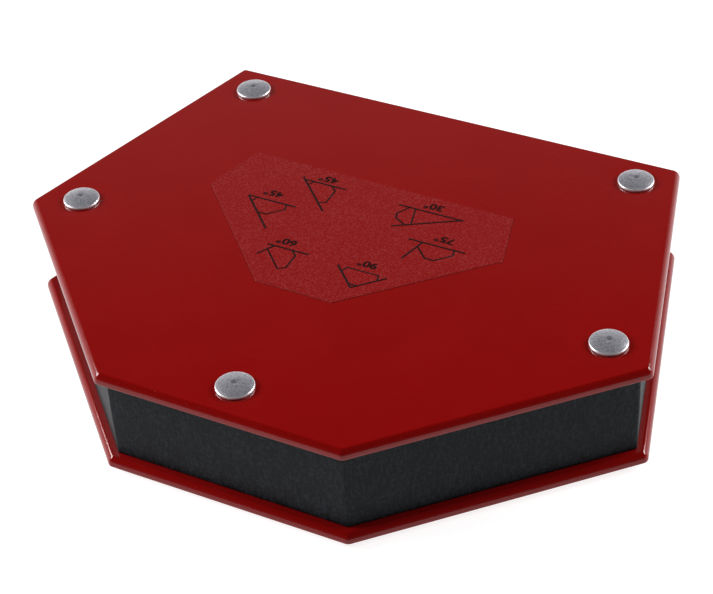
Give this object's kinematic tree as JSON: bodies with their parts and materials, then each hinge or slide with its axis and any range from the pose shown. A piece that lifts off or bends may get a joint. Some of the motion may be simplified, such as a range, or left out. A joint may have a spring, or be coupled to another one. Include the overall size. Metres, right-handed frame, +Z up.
{
  "type": "welding magnet holder",
  "caption": "Hexagonal magnetic welding angle holder: red steel plates riveted over a black foam core that carries block magnets.",
  "frame": {"origin": "under the middle of the plates' outline, on the plane that the lower rivet heads stand on", "axes": "+X along the long back side (longest extent), +Y towards that side, +Z up through the thickness (shortest extent)"},
  "size_m": [0.1582, 0.121, 0.03],
  "materials": {
    "red_paint": "glossy",
    "black_foam": "matt, closed cell",
    "rivet_aluminium": "bright",
    "sleeve_aluminium": "drawn tube",
    "ferrite": "matt, ground faces",
    "label_film": "satin film"
  },
  "bodies": {
    "root": {"bottom_plate": "red_paint", "top_plate": "red_paint", "foam_core": "black_foam", "angle_label": "label_film", "rivet_back_left": "rivet_aluminium", "sleeve_back_left": "sleeve_aluminium", "rivet_back_right": "rivet_aluminium", "sleeve_back_right": "sleeve_aluminium", "rivet_side_left": "rivet_aluminium", "sleeve_side_left": "sleeve_aluminium", "rivet_side_right": "rivet_aluminium", "sleeve_side_right": "sleeve_aluminium", "rivet_front": "rivet_aluminium", "sleeve_front": "sleeve_aluminium", "magnet_back_left_lower": "ferrite", "magnet_back_left_upper": "ferrite", "magnet_back_right_lower": "ferrite", "magnet_back_right_upper": "ferrite", "magnet_side_left_lower": "ferrite", "magnet_side_left_upper": "ferrite", "magnet_side_right_lower": "ferrite", "magnet_side_right_upper": "ferrite", "magnet_slope_left_lower": "ferrite", "magnet_slope_left_upper": "ferrite", "magnet_slope_right_lower": "ferrite", "magnet_slope_right_upper": "ferrite", "magnet_front_lower": "ferrite", "magnet_front_upper": "ferrite"}
  },
  "joints": []
}
